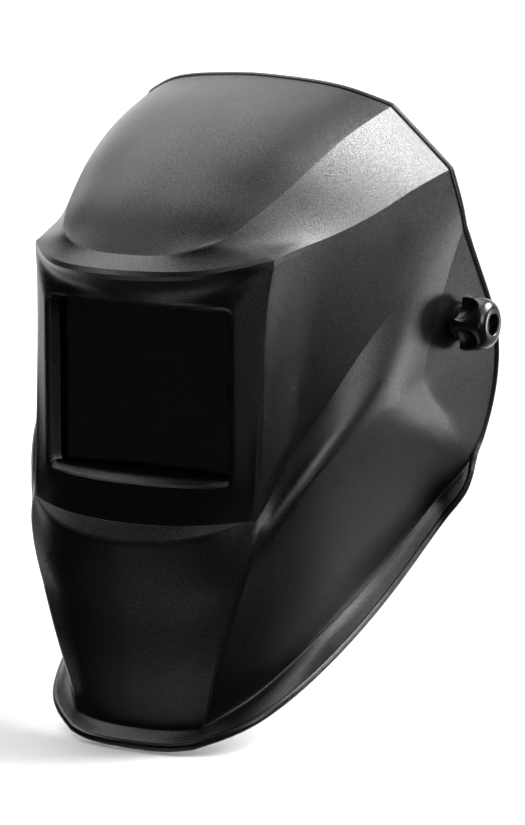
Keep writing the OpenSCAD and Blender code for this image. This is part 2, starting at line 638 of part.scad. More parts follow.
// Tails slide outside the headband strip and into the rear cradle's housing
module rear_tail(side) color([0.1, 0.1, 0.1]) intersection() {
    strip(tail_near, tail_near + tail_t, -tail_h / 2, tail_h);
    behind(band_end_y - tail_overlap);
    translate([side > 0 ? tail_gap_x : -150 - tail_gap_x, 0, -50]) cube([150, 200, 100]);
}
module ratchet_housing() color([0.1, 0.1, 0.1]) difference() {
    intersection() {
        strip(0.3, cradle_t, -cradle_h / 2, cradle_h);
        near_cradle(cradle_half_w);
    }
    strip(tail_near - 0.2, tail_near + tail_t + 0.2, -tail_h / 2 - 0.2, tail_h + 0.4);
    at_cradle(2.2) cylinder(r = 9.5, h = 6, $fn = 48);
    at_cradle(0) cylinder(r = dial_shaft_r + running_gap, h = through, $fn = 32);
    at_cradle(cradle_t - 3) cylinder(r = 12, h = 10, $fn = 64);
}
module ratchet_spring() color([0.72, 0.72, 0.74]) at_cradle(cradle_t - 2.9)
    ring(spring_r_out, spring_r_in, 1, 64);
module ratchet_cover() color([0.12, 0.12, 0.12]) at_cradle(cradle_t + 0.05)
    ring(cover_r, dial_shaft_r + running_gap, cover_t, 96);
module ratchet_pinion() color([0.85, 0.85, 0.82]) at_cradle(2.6) difference() {
    union() {
        cylinder(r = pinion_r, h = pinion_t, $fn = 48);
        for (a = [0 : 30 : 330]) rotate([0, 0, a]) translate([pinion_r - 0.6, -pinion_tooth / 2, 0])
            cube([pinion_reach - pinion_r + 0.6, pinion_tooth, pinion_t]);
    }
    translate([0, 0, -past]) cylinder(r = dial_shaft_r, h = through, $fn = 32);
}
module ratchet_knob() color([0.05, 0.05, 0.05]) at_cradle(cradle_t + 2) {
    difference() {
        cylinder(r = ratchet_knob_r, h = ratchet_knob_t, $fn = 96);
        for (a = [0 : 36 : 324]) rotate([0, 0, a])
            translate([ratchet_knob_r + 0.6 * ratchet_groove_r, 0, -past])
                cylinder(r = ratchet_groove_r, h = through, $fn = 32);
        translate([0, 0, ratchet_knob_t - ratchet_dish_t])
            cylinder(r = ratchet_dish_r, h = through, $fn = 64);
    }
    translate([0, 0, 0.5 - cradle_t]) cylinder(r = dial_shaft_r, h = cradle_t, $fn = 32);
}
module rear_pad() color([0.14, 0.14, 0.15]) intersection() {
    strip(-rear_pad_t - 0.1, -0.1, -rear_pad_h / 2, rear_pad_h);
    near_cradle(rear_pad_half_w);
}

shell();
pivot_bush(1);  // pivot_bush_left
pivot_bush(-1);  // pivot_bush_right
front_cover_lens();
filter_frame();
filter_front_case();
filter_back_case();
lcd_glass();
solar_panel();
arc_sensors();
circuit_board();
inner_cover_lens();
frame_clips();
battery_tray();
coin_cell();
shade_dial();
sensitivity_dial();
delay_dial();
retaining_wire();
pivot_bolt(1);  // pivot_bolt_left
pivot_bolt(-1);  // pivot_bolt_right
tension_knob(1);  // tension_knob_left
tension_knob(-1);  // tension_knob_right
knob_nut(1);  // knob_nut_left
knob_nut(-1);  // knob_nut_right
outer_washer(1);  // outer_washer_left
outer_washer(-1);  // outer_washer_right
stop_plate(1);  // stop_plate_left
stop_plate(-1);  // stop_plate_right
distance_plate(1);  // distance_plate_left
distance_plate(-1);  // distance_plate_right
headband();
sweatband();
crown_strap_front();
crown_strap_rear();
crown_pegs();
crown_pad();
rear_tail(1);  // rear_tail_left
rear_tail(-1);  // rear_tail_right
ratchet_housing();
ratchet_cover();
ratchet_pinion();
ratchet_knob();
ratchet_spring();
rear_pad();
band_rivets();
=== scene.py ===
import math

import bmesh
import bpy
import numpy as np
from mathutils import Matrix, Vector


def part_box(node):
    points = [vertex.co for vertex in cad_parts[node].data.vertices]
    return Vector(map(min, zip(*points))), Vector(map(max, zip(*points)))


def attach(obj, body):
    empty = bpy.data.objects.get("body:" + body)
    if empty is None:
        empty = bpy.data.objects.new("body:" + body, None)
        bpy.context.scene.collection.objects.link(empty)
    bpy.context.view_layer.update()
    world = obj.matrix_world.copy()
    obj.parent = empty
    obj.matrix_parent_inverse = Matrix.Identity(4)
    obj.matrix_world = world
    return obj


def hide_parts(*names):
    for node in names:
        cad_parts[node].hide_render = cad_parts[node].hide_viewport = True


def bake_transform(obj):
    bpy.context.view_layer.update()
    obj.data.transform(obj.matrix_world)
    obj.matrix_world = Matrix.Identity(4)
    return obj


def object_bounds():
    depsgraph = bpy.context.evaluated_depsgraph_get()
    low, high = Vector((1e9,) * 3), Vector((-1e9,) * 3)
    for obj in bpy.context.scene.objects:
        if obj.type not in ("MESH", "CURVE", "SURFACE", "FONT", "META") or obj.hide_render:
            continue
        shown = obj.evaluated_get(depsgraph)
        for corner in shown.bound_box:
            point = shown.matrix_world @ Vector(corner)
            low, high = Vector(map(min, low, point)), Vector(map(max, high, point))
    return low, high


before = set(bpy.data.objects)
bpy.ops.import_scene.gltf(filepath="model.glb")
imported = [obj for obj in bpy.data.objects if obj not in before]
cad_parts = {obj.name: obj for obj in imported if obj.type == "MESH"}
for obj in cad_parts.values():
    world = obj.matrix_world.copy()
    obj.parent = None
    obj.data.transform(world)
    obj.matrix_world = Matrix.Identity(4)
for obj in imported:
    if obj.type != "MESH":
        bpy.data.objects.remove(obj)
cad_box = [list(corner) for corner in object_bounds()]
MM = 0.001


# ---------------------------------------------------------------- helpers
def smooth(mesh):
    for polygon in mesh.polygons:
        polygon.use_smooth = True


def new_object(name, verts, faces):
    """A smooth mesh object from points in metres."""
    mesh = bpy.data.meshes.new(name)
    mesh.from_pydata([tuple(v) for v in verts], [], [tuple(f) for f in faces])
    mesh.validate()
    smooth(mesh)
    obj = bpy.data.objects.new(name, mesh)
    bpy.context.scene.collection.objects.link(obj)
    return obj


def apply_modifiers(obj):
    """Turns the object's modifiers into its mesh."""
    graph = bpy.context.evaluated_depsgraph_get()
    mesh = bpy.data.meshes.new_from_object(obj.evaluated_get(graph), depsgraph=graph)
    obj.modifiers.clear()
    obj.data = mesh


def face_outward(obj):
    """Turns the mesh's faces to face out."""
    mesh = bmesh.new()
    mesh.from_mesh(obj.data)
    bmesh.ops.recalc_face_normals(mesh, faces=mesh.faces)
    mesh.to_mesh(obj.data)
    mesh.free()


def add_part(obj, verts, faces):
    """Adds a loose closed part to the object's mesh."""
    mesh = bmesh.new()
    mesh.from_mesh(obj.data)
    made = [mesh.verts.new(tuple(v)) for v in verts]
    new = [mesh.faces.new([made[k] for k in face]) for face in faces]
    bmesh.ops.recalc_face_normals(mesh, faces=new)
    mesh.to_mesh(obj.data)
    mesh.free()


def tube_faces(ring, steps):
    """Faces of a capped tube: steps + 1 rings of points, one after the other."""
    faces = []
    for k in range(steps):
        for j in range(ring):
            j2 = (j + 1) % ring
            faces.append((k * ring + j, k * ring + j2, (k + 1) * ring + j2, (k + 1) * ring + j))
    return faces + [tuple(range(ring - 1, -1, -1)), tuple(range(steps * ring, (steps + 1) * ring))]


def subdivide(obj, levels):
    modifier = obj.modifiers.new("subdivide", "SUBSURF")
    modifier.levels = modifier.render_levels = levels
    apply_modifiers(obj)


BEVEL_SEGMENTS, FLAT_WEIGHT = 2, 50


def crisp(obj, angle, width):
    """Rounds every edge sharper than the angle by a small radius and keeps the faces beside it flat."""
    bevel = obj.modifiers.new("bevel", "BEVEL")
    bevel.limit_method = "ANGLE"
    bevel.angle_limit = math.radians(angle)
    bevel.width = width
    bevel.segments = BEVEL_SEGMENTS
    bevel.use_clamp_overlap = True
    weighted = obj.modifiers.new("weighted", "WEIGHTED_NORMAL")
    weighted.weight = FLAT_WEIGHT
    apply_modifiers(obj)
    smooth(obj.data)


def shade(obj, material):
    obj.data.materials.clear()
    obj.data.materials.append(material)


def piece(obj, body, material, slot, *nodes):
    """Finishes a piece: its material, the body it rides on and the CAD nodes it stands for; the slot is not
    used.
    """
    shade(obj, material)
    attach(obj, body)
    if nodes:
        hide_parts(*nodes)


# ---------------------------------------------------------------- shader nodes
def new_material(name):
    """A material, its node tree and its main shader."""
    material = bpy.data.materials.new(name)
    material.use_nodes = True
    return material, material.node_tree, material.node_tree.nodes["Principled BSDF"]


def own_place(tree):
    """The object's own coordinates."""
    return tree.nodes.new("ShaderNodeTexCoord").outputs["Object"]


def noise(tree, place, scale, detail=2.0):
    made = tree.nodes.new("ShaderNodeTexNoise")
    made.inputs["Scale"].default_value = scale
    made.inputs["Detail"].default_value = detail
    tree.links.new(place, made.inputs["Vector"])
    return made.outputs["Fac"]


def spread(tree, source, low, high, source_low=0.0, source_high=1.0):
    """Values of the source between its two limits, spread from low to high."""
    made = tree.nodes.new("ShaderNodeMapRange")
    made.inputs["From Min"].default_value = source_low
    made.inputs["From Max"].default_value = source_high
    made.inputs["To Min"].default_value = low
    made.inputs["To Max"].default_value = high
    tree.links.new(source, made.inputs["Value"])
    return made.outputs["Result"]


def scaled(tree, colour, factor):
    """A colour made darker or lighter by a factor."""
    made = tree.nodes.new("ShaderNodeVectorMath")
    made.operation = "SCALE"
    made.inputs[0].default_value = colour
    tree.links.new(factor, made.inputs["Scale"])
    return made.outputs["Vector"]


def two_colours(tree, source, first, last):
    """A ramp over the source between two stops, each a position and a colour."""
    made = tree.nodes.new("ShaderNodeValToRGB")
    for element, (position, colour) in zip(made.color_ramp.elements, (first, last)):
        element.position = position
        element.color = (*colour, 1)
    tree.links.new(source, made.inputs["Fac"])
    return made.outputs["Color"]


def bump(tree, height, depth):
    made = tree.nodes.new("ShaderNodeBump")
    made.inputs["Strength"].default_value = 1.0
    made.inputs["Distance"].default_value = depth
    tree.links.new(height, made.inputs["Height"])
    return made.outputs["Normal"]


# ---------------------------------------------------------------- materials
# Most noise values lie between these two, so this range is spread over the whole effect
NOISE_RANGE = (0.3, 0.7)
GRAIN_DETAIL, DRIFT_SCALE, DRIFT_ROUGHNESS, SPECULAR = 3.0, 14.0, 0.05, 0.5


def plastic(name, colour, roughness, grain, grain_depth, speckle=0.35, coat=0.0):
    """Moulded plastic: a fine grain in bump, gleam and colour, and a broad drift in roughness."""
    material, tree, shader = new_material(name)
    shader.inputs["Coat Weight"].default_value = coat
    place = own_place(tree)
    fine = noise(tree, place, grain, GRAIN_DETAIL)
    broad = noise(tree, place, DRIFT_SCALE)
    less, more = 1.0 - speckle, 1.0 + speckle
    tint = spread(tree, fine, less, more, *NOISE_RANGE)
    gleam = spread(tree, fine, SPECULAR * less, SPECULAR * more, *NOISE_RANGE)
    rough = spread(tree, broad, roughness - DRIFT_ROUGHNESS, roughness + DRIFT_ROUGHNESS, *NOISE_RANGE)
    tree.links.new(gleam, shader.inputs["Specular IOR Level"])
    tree.links.new(scaled(tree, colour, tint), shader.inputs["Base Color"])
    tree.links.new(rough, shader.inputs["Roughness"])
    tree.links.new(bump(tree, fine, grain_depth), shader.inputs["Normal"])
    return material


LENS_IOR, WIPE_SCALE, WIPE_DETAIL, WIPE_ROUGHNESS = 1.45, 60.0, 6.0, 0.06


def glass(name, colour, roughness, transmission):
    """Polished glass or clear plastic with faint wipe marks in its roughness."""
    material, tree, shader = new_material(name)
    shader.inputs["Base Color"].default_value = (*colour, 1)
    shader.inputs["Transmission Weight"].default_value = transmission
    shader.inputs["IOR"].default_value = LENS_IOR
    marks = noise(tree, own_place(tree), WIPE_SCALE, WIPE_DETAIL)
    tree.links.new(spread(tree, marks, roughness, roughness + WIPE_ROUGHNESS), shader.inputs["Roughness"])
    return material


BRUSH_SCALE, BRUSH_TINTS, BRUSH_ROUGHNESS = 900.0, (0.8, 1.1), (-0.06, 0.1)


def metal(name, colour, roughness, stretch):
    """Metal with fine drawn or brushed lines along one axis."""
    material, tree, shader = new_material(name)
    shader.inputs["Metallic"].default_value = 1.0
    stretched = tree.nodes.new("ShaderNodeMapping")
    stretched.inputs["Scale"].default_value = stretch
    tree.links.new(own_place(tree), stretched.inputs["Vector"])
    lines = noise(tree, stretched.outputs["Vector"], BRUSH_SCALE)
    tint = spread(tree, lines, *BRUSH_TINTS)
    rough = spread(tree, lines, *(roughness + change for change in BRUSH_ROUGHNESS))
    tree.links.new(scaled(tree, colour, tint), shader.inputs["Base Color"])
    tree.links.new(rough, shader.inputs["Roughness"])
    return material


STRIP_SCALE, SCRIBED_LINE, STRIP = 38.0, (0.0, (0.16, 0.12, 0.13)), (0.04, (0.022, 0.012, 0.035))


def solar_film(name):
    """Dark amorphous solar film: strips divided by thin scribed lines."""
    material, tree, shader = new_material(name)
    shader.inputs["Roughness"].default_value = 0.15
    strips = tree.nodes.new("ShaderNodeTexWave")
    strips.bands_direction = "X"
    strips.inputs["Scale"].default_value = STRIP_SCALE
    strips.inputs["Distortion"].default_value = 0.0
    tree.links.new(own_place(tree), strips.inputs["Vector"])
    film = two_colours(tree, strips.outputs["Fac"], SCRIBED_LINE, STRIP)
    tree.links.new(film, shader.inputs["Base Color"])
    return material


PILE_SCALE, PILE_SHARE, PILE_DEPTH, CURL_SCALE, CURL_DETAIL = 900.0, 0.6, 0.0006, 500.0, 5.0
# Pile height and the factor on the colour there: painted shade in the hollows, a painted highlight on the
# tips
PILE_HOLLOW_SHADE, PILE_TIP_HIGHLIGHT = (0.35, 0.45), (0.95, 1.5)


def towelling(name, colour):
    """Brushed towelling: short curled pile with soft sheen; its colour follows the pile's height, darker in
    the hollows as painted shade and lighter on the tips as a painted highlight.
    """
    material, tree, shader = new_material(name)
    shader.inputs["Roughness"].default_value = 0.95
    shader.inputs["Sheen Weight"].default_value = 0.5
    shader.inputs["Sheen Roughness"].default_value = 0.5
    place = own_place(tree)
    pile = tree.nodes.new("ShaderNodeTexVoronoi")
    pile.inputs["Scale"].default_value = PILE_SCALE
    tree.links.new(place, pile.inputs["Vector"])
    mixed = tree.nodes.new("ShaderNodeMath")
    mixed.operation = "MULTIPLY_ADD"
    mixed.inputs[1].default_value = PILE_SHARE
    tree.links.new(pile.outputs["Distance"], mixed.inputs[0])
    tree.links.new(noise(tree, place, CURL_SCALE, CURL_DETAIL), mixed.inputs[2])
    height = mixed.outputs["Value"]
    # The colour follows the pile's height: painted shade at the low points, a painted highlight at the high
    # points
    shade_and_highlight_stops = [(position, [c * factor for c in colour]) for position, factor in (PILE_HOLLOW_SHADE, PILE_TIP_HIGHLIGHT)]
    tree.links.new(two_colours(tree, height, *shade_and_highlight_stops), shader.inputs["Base Color"])
    tree.links.new(bump(tree, height, PILE_DEPTH), shader.inputs["Normal"])
    return material


# Name, colour, roughness, grain in cycles per metre, depth of the grain in metres, speckle, coat
SHELL_BLACK = plastic("shell_black", (0.0018, 0.0018, 0.0019), 0.285, 2000.0, 0.00012, 0.65)
TRIM_BLACK = plastic("trim_black", (0.007, 0.007, 0.0073), 0.42, 1500.0, 0.00005)
CASE_BLACK = plastic("case_black", (0.012, 0.012, 0.0125), 0.5, 1300.0, 0.00006)
BAND_BLACK = plastic("band_black", (0.018, 0.018, 0.0185), 0.34, 900.0, 0.00003)
KNOB_GLOSS = plastic("knob_gloss", (0.003, 0.003, 0.0032), 0.2, 700.0, 0.00001, 0.2, 0.2)
DIAL_GREY = plastic("dial_grey", (0.05, 0.05, 0.052), 0.42, 1200.0, 0.00004)
GEAR_WHITE = plastic("gear_white", (0.72, 0.71, 0.67), 0.38, 900.0, 0.00003, 0.04)
BOARD_GREEN = plastic("board_green", (0.01, 0.09, 0.035), 0.35, 700.0, 0.00004)
SENSOR_RED = plastic("sensor_red", (0.035, 0.006, 0.006), 0.1, 300.0, 0.00001, 0.1, 0.6)
DARK_LENS = glass("dark_lens", (0.03, 0.032, 0.031), 0.02, 1.0)
CLEAR_LENS = glass("clear_lens", (0.6, 0.62, 0.61), 0.02, 1.0)
FILTER_GLASS = glass("filter_glass", (0.006, 0.014, 0.01), 0.03, 0.0)
SOLAR_FILM = solar_film("solar_film")
STEEL_WIRE = metal("steel_wire", (0.62, 0.62, 0.63), 0.25, (0.05, 1.0, 1.0))
STEEL = metal("steel", (0.66, 0.66, 0.68), 0.3, (1.0, 1.0, 0.1))
BRASS = metal("brass", (0.78, 0.58, 0.27), 0.28, (0.1, 1.0, 1.0))
TOWEL = towelling("towel", (0.035, 0.035, 0.038))

# CAD nodes that stay as they are, with the material each one gets
FINISHES = {
    TRIM_BLACK: ["pivot_bush_left", "pivot_bush_right", "filter_frame", "frame_clips", "pivot_bolt_left",
                 "pivot_bolt_right", "outer_washer_left", "outer_washer_right", "stop_plate_left",
                 "stop_plate_right"],
    CASE_BLACK: ["filter_front_case", "filter_back_case", "battery_tray"],
    BAND_BLACK: ["distance_plate_left", "distance_plate_right", "headband", "crown_strap_front",
                 "crown_strap_rear", "crown_pegs", "ratchet_housing", "ratchet_cover"],
    DIAL_GREY: ["shade_dial", "sensitivity_dial", "delay_dial"],
    KNOB_GLOSS: ["ratchet_knob"],
    FILTER_GLASS: ["lcd_glass"],
    CLEAR_LENS: ["inner_cover_lens"],
    SOLAR_FILM: ["solar_panel"],
    SENSOR_RED: ["arc_sensors"],
    BOARD_GREEN: ["circuit_board"],
    STEEL: ["coin_cell", "band_rivets", "ratchet_spring"],
    STEEL_WIRE: ["retaining_wire"],
    BRASS: ["knob_nut_left", "knob_nut_right"],
    GEAR_WHITE: ["ratchet_pinion"],
}
for finish, names in FINISHES.items():
    for name in names:
        for material_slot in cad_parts[name].material_slots:
            material_slot.material = finish

# ---------------------------------------------------------------- shell outlines
# Points on the wearer's left half, in millimetres from the middle of the flip axis. Each grid is a list
# of rows, and neighbouring grids share their border points.
CROWN_REAR = [(0, -28, 123), (28, -27, 121.5), (51, -22, 118), (71, -11, 109.5)]
CROWN = [
    CROWN_REAR,
    [(0, -70, 112.5), (28, -68, 110.5), (50, -61, 105.5), (67, -52, 98)],
    [(0, -99, 97.5), (25, -97, 96), (46, -93, 91), (62.5, -85, 83)],
    [(0, -120, 83), (23, -118, 81.5), (42, -113, 77.5), (57.5, -106, 71.5)],
    [(0, -135, 69), (21, -134, 68.5), (39, -129.5, 66), (52.5, -122, 63)],
    [(0, -146, 56), (19, -145, 56), (35, -141, 56), (47, -135, 55)],
    [(0, -155, 45), (17, -154, 45.5), (31, -150.5, 48), (42, -143, 51.5)],
]
SHOULDER = [
    (97.5, 2.5, 78), (91.5, -29, 70), (86.5, -53, 62), (80.5, -75.5, 55.5), (75, -95, 51),
    (71, -112, 48), (68, -128, 44.5),
]
BROW = [(0, -168, 38.5), (20, -164, 38.5), (44, -153, 39.5), (68, -128, 44.5)]
SIDE_CREASE = [
    (103, 7, 49.5), (97, -35.5, 24), (87, -71, -5.5), (77, -100.5, -39), (70, -119, -59),
    (66.5, -129.5, -74), (63.5, -138, -85),
]
SIDE = [
    SHOULDER,
    [(100, 4, 68), (94, -30, 54), (88, -54, 41), (80.5, -78, 35), (74, -98, 31), (69.5, -114, 29),
     (65, -131, 18)],
    [(102, 5.5, 58.5), (96, -32, 39), (88.5, -62, 18), (80, -88, 0), (73, -107, -16), (68.5, -121, -24),
     (64, -134, -34)],
    SIDE_CREASE,
]
# Rear panel of the side: from the rear edge to the fold that runs down from the side crease's end
REAR_PANEL = [
    [(103, 7, 49.5), (103, 7, 49.5)],
    [(107, 13.5, 29), (101, -13, 17)],
    [(112, 27, -5), (98, -28, -26.5)],
    [(109.5, 31, -36), (101, -6, -48.5)],
    [(106, 27.5, -58), (102, 8, -66)],
    [(104.5, 23.5, -68.5), (101, 14.5, -78)],
    [(104.5, 22, -72), (102, 13.5, -84)],
    [(105, 20, -76), (103, 13, -91)],
]
WING = [
    SIDE_CREASE,
    [(101, -13, 17), (98, -40, 0), (93, -69, -19), (82.5, -102.5, -47.5), (74.5, -120.5, -67),
     (68.2, -132, -83.5), (64.5, -140.5, -93)],
    [(98, -28, -26.5), (97.5, -47, -31), (96, -67, -36), (85, -105.5, -58.5), (76, -122, -77),
     (67.5, -134, -95.5), (60.5, -143, -111.5)],
    [(101, -6, -48.5), (99.5, -24, -52.5), (96, -43, -57), (84, -83, -80), (75, -107, -100),
     (64, -127.5, -120), (55, -144, -128)],
    [(102, 8, -66), (99, -3, -70.5), (94.5, -14, -76), (81, -57, -103), (72.5, -90, -128), (60, -120, -148),
     (46.5, -145, -155)],
    [(101, 14.5, -78), (95.5, 7, -86.5), (88, -1, -96), (76, -36, -126), (68, -80, -150),
     (54, -117.5, -176), (37.5, -141.5, -187)],
    [(102, 13.5, -84), (96.5, 7, -92.5), (89.5, 0, -102), (78.5, -36, -132.5), (70.5, -83, -157.5),
     (57, -124, -183), (36, -144.5, -195)],
    [(103, 13, -91), (98, 7, -100.5), (91.5, 0, -111), (82.5, -35, -140.5), (73, -85, -168.5),
     (59, -131, -190.5), (35, -150, -201)],
]
LIP_TOP = [(63.5, -138, -85), (46, -148, -87), (24, -154, -88.5), (0, -156.5, -89)]
CHIN = [
    [(63.5, -138, -85), (47, -152, -91.5), (24, -159.5, -96.5), (0, -162.5, -98)],
    [(64.5, -140.5, -93), (46, -152, -104), (24, -158.5, -108), (0, -161, -109)],
    [(60.5, -143, -111.5), (44, -152, -118), (22, -157, -121), (0, -159, -122)],
    [(55, -144, -128), (38, -151, -134), (19, -155, -137), (0, -156.5, -138)],
    [(46.5, -145, -155), (32, -150, -160), (16, -152.5, -163), (0, -153.5, -164)],
    [(37.5, -141.5, -187), (26, -145.5, -190), (13, -147.5, -192), (0, -148, -192)],
    [(36, -144.5, -195), (25, -149, -197), (12.5, -151, -198), (0, -151.5, -198)],
    [(35, -150, -201), (25, -154, -202.5), (12.5, -156.5, -203), (0, -157, -203)],
]
FACE = [
    BROW + [SIDE[1][-1], SIDE[2][-1]] + LIP_TOP,
    [(0, -158.5, 31), (19, -155.5, 31.5), (41, -147, 32), (62, -134.5, 35), (62, -134.5, 15),
     (61, -136, -36), (60, -139, -80), (44, -147.5, -82), (23, -153, -83), (0, -155, -83.5)],
    [(0, -152, 25), (18, -151, 24.8), (36, -147.5, 24), (54.5, -141, 23), (54.5, -141, 2),
     (54.5, -141, -46), (54.5, -141, -69), (36, -147.5, -69.5), (18, -151, -70), (0, -152, -70)],
    [(0, -147.5, 23.8), (18, -146.6, 23.7), (36, -144.2, 23.1), (53.7, -139.6, 22.4), (53.7, -139.6, 1.4),
     (53.7, -139.6, -46), (53.7, -139.6, -66.8), (36, -143, -66.6), (18, -146, -66.5), (0, -147, -66.5)],
    [(0, -136.5, 21), (18, -136.5, 21), (36, -136.5, 21), (52, -136.5, 21), (52, -136.5, 0),
     (52, -136.5, -46), (52, -136.5, -67), (36, -136.5, -67), (18, -136.5, -67), (0, -136.5, -67)],
]
CROWN_SIDE = [row[-1] for row in CROWN]
GRIDS = [CROWN, [CROWN[-1], BROW], [CROWN_SIDE, SHOULDER], SIDE, REAR_PANEL, WING, [LIP_TOP, CHIN[0]], CHIN]
# Points of the face's rings, and rings of the face, at which the smooth curves break
FACE_SPLITS = (0, 3, 6, 9)
FACE_RINGS = (0, 2, 3, 4)

# Folds of the surface: a line of points, the fold's first and last point, and how sharp it is, from 0 to 1
SHARP, HARD, CRISP, SOFT, FAINT = 1.0, 0.8, 0.6, 0.42, 0.3
CHIN_SIDE = [row[0] for row in CHIN]
PANEL_FOLD = [row[1] for row in REAR_PANEL]
FACE_EDGE = [SHOULDER[-1], SIDE[1][-1], SIDE[2][-1], SIDE_CREASE[-1]]
FOLDS = [
    (CROWN_SIDE, 0, 6, SHARP),
    (CROWN[-1], 0, 3, HARD),
    (SHOULDER, 0, 6, SHARP),
    (BROW, 0, 3, SHARP),
    (FACE_EDGE, 0, 3, SHARP),
    (SIDE_CREASE, 0, 4, SHARP),
    (SIDE_CREASE, 4, 6, HARD),
    (LIP_TOP, 0, 3, SHARP),
    (CHIN[0], 0, 3, SHARP),
    (CHIN_SIDE, 0, 1, FAINT),
    (CHIN_SIDE, 1, 3, SOFT),
    (CHIN_SIDE, 3, 7, CRISP),
    (WING[2], 0, 3, SHARP),
    (WING[2], 3, 4, CRISP),
    (WING[2], 4, 5, FAINT),
    (PANEL_FOLD, 0, 2, SHARP),
    (PANEL_FOLD, 2, 3, SOFT),
    (PANEL_FOLD, 3, 4, FAINT),
]
# The ring of the face that is the edge of the window's recess
RECESS_RING, RECESS_SHARP = 2, 0.55
# Steps between two outline points of the cage
SPANS = 2


def curve_at(points, t):
    """Point at t spans along a smooth curve through the points."""
    last = len(points) - 1
    k = min(int(t), last - 1)
    f = t - k
    chord = points[k + 1] - points[k]
    start = (points[k + 1] - points[k - 1]) / 2 if k > 0 else chord
    finish = (points[k + 2] - points[k]) / 2 if k < last - 1 else chord
    bend = 3 * chord - 2 * start - finish
    return points[k] + f * start + f * f * bend + f ** 3 * (start + finish - 2 * chord)


def refined(points):
    """The points with SPANS steps between each two, along a smooth curve."""
    points = [np.array(p, float) for p in points]
    return [curve_at(points, k / SPANS) for k in range(SPANS * (len(points) - 1) + 1)]


def turned(grid):
    """The grid with its rows as columns."""
    return [list(column) for column in zip(*grid)]


def refined_pieces(points, splits):
    """The points refined as separate curves between the splits."""
    splits = splits or (0, len(points) - 1)
    fine = refined(points[splits[0]:splits[1] + 1])
    for a, b in zip(splits[1:], splits[2:]):
        fine += refined(points[a:b + 1])[1:]
    return fine


def refined_grid(grid, splits=None, row_splits=None):
    """A finer grid; its rows and columns are broken into separate curves at the splits."""
    rows = [refined_pieces(row, splits) for row in grid]
    return turned([refined_pieces(column, row_splits) for column in turned(rows)])


def key(point, side=1):
    """A point's place to a hundredth of a millimetre, on the left half or mirrored."""
    x, y, z = (round(float(c), 2) for c in point)
    return (side * x + 0.0, y + 0.0, z + 0.0)


def shell_cage():
    """The coarse mesh through the outline points, both halves, with its folds."""
    index, faces, folds = {}, [], {}
    face_grid = refined_grid(FACE, FACE_SPLITS, FACE_RINGS)

    def at(place):
        return index.setdefault(place, len(index))

    for grid in [refined_grid(grid) for grid in GRIDS] + [face_grid]:
        for upper, lower in zip(grid, grid[1:]):
            for k in range(len(upper) - 1):
                corners = (upper[k], upper[k + 1], lower[k + 1], lower[k])
                for side in (1, -1):
                    face = list(dict.fromkeys(at(key(corner, side)) for corner in corners))
                    if len(face) > 2:
                        faces.append(face)
    lines = [(refined(line)[first * SPANS:last * SPANS + 1], sharpness)
             for line, first, last, sharpness in FOLDS]
    lines.append((face_grid[RECESS_RING * SPANS], RECESS_SHARP))
    for line, sharpness in lines:
        for a, b in zip(line, line[1:]):
            for side in (1, -1):
                folds[frozenset(index[key(end, side)] for end in (a, b))] = sharpness
    obj = new_object("shell", np.array(list(index), float) * MM, faces)
    face_outward(obj)
    crease = obj.data.attributes.new("crease_edge", "FLOAT", "EDGE")
    for edge in obj.data.edges:
        crease.data[edge.index].value = folds.get(frozenset(edge.vertices), 0.0)
    return obj


def border_loops(mesh):
    """The mesh's open edges as closed loops of vertices."""
    loops, seen = [], set()
    for first in (edge for edge in mesh.edges if edge.is_boundary):
        if first in seen:
            continue
        loop, edge, vert = [], first, first.verts[0]
        while edge not in seen:
            seen.add(edge)
            loop.append(vert)
            vert = edge.other_vert(vert)
            edge = next((e for e in vert.link_edges if e.is_boundary and e not in seen), edge)
        loops.append(loop)
    return loops


WALL = 2.4 * MM
BEAD_R, BEAD_SIDES = 2.2 * MM, 10
SHELL_LEVELS, SHELL_EDGE_ANGLE, SHELL_EDGE_R = 3, 9, 0.35 * MM
# Tabs along the bottom of the window that the cover lens stands behind
TAB_PLACES = (-27, 21)
TAB_LOW, TAB_HIGH = (-3.5, -140.0, -68.5), (3.5, -135.1, -64.4)
TAB_FACES = [(0, 1, 3, 2), (4, 6, 7, 5), (0, 4, 5, 1), (2, 3, 7, 6), (0, 2, 6, 4), (1, 5, 7, 3)]


def bead(loop):
    """A round bead along a border of the shell, centred in the wall's thickness."""
    verts, faces = [], []
    count = len(loop)
    for k, vert in enumerate(loop):
        along = (loop[(k + 1) % count].co - loop[k - 1].co).normalized()
        normal = vert.normal.normalized()
        across = along.cross(normal).normalized()
        normal = across.cross(along).normalized()
        centre = vert.co - normal * WALL / 2
        for j in range(BEAD_SIDES):
            angle = 2 * math.pi * j / BEAD_SIDES
            verts.append(centre + BEAD_R * (math.cos(angle) * normal + math.sin(angle) * across))
            this, following = k * BEAD_SIDES, (k + 1) % count * BEAD_SIDES
            j2 = (j + 1) % BEAD_SIDES
            faces.append((this + j, following + j, following + j2, this + j2))
    return verts, faces


def lens_tab(x):
    """The eight corners and six faces of a tab at x."""
    ends = list(zip(TAB_LOW, TAB_HIGH))
    verts = [Vector((x + a, b, c)) * MM for a in ends[0] for b in ends[1] for c in ends[2]]
    return verts, TAB_FACES


def make_shell():
    obj = shell_cage()
    subdivide(obj, SHELL_LEVELS)
    mesh = bmesh.new()
    mesh.from_mesh(obj.data)
    mesh.normal_update()
    rim = bead(max(border_loops(mesh), key=len))
    mesh.free()
    thick = obj.modifiers.new("wall", "SOLIDIFY")
    thick.thickness = WALL
    thick.offset = -1
    apply_modifiers(obj)
    add_part(obj, *rim)
    for x in TAB_PLACES:
        add_part(obj, *lens_tab(x))
    crisp(obj, SHELL_EDGE_ANGLE, SHELL_EDGE_R)
    piece(obj, "shell_unit", SHELL_BLACK, "shell_plastic", "shell")


make_shell()

# ---------------------------------------------------------------- cover lens
LENS_W, LENS_H, LENS_ROUND, LENS_CORNER_STEPS = 112 * MM, 93 * MM, 5 * MM, 8
LENS_EDGE_ANGLE, LENS_EDGE_R = 40, 0.25 * MM


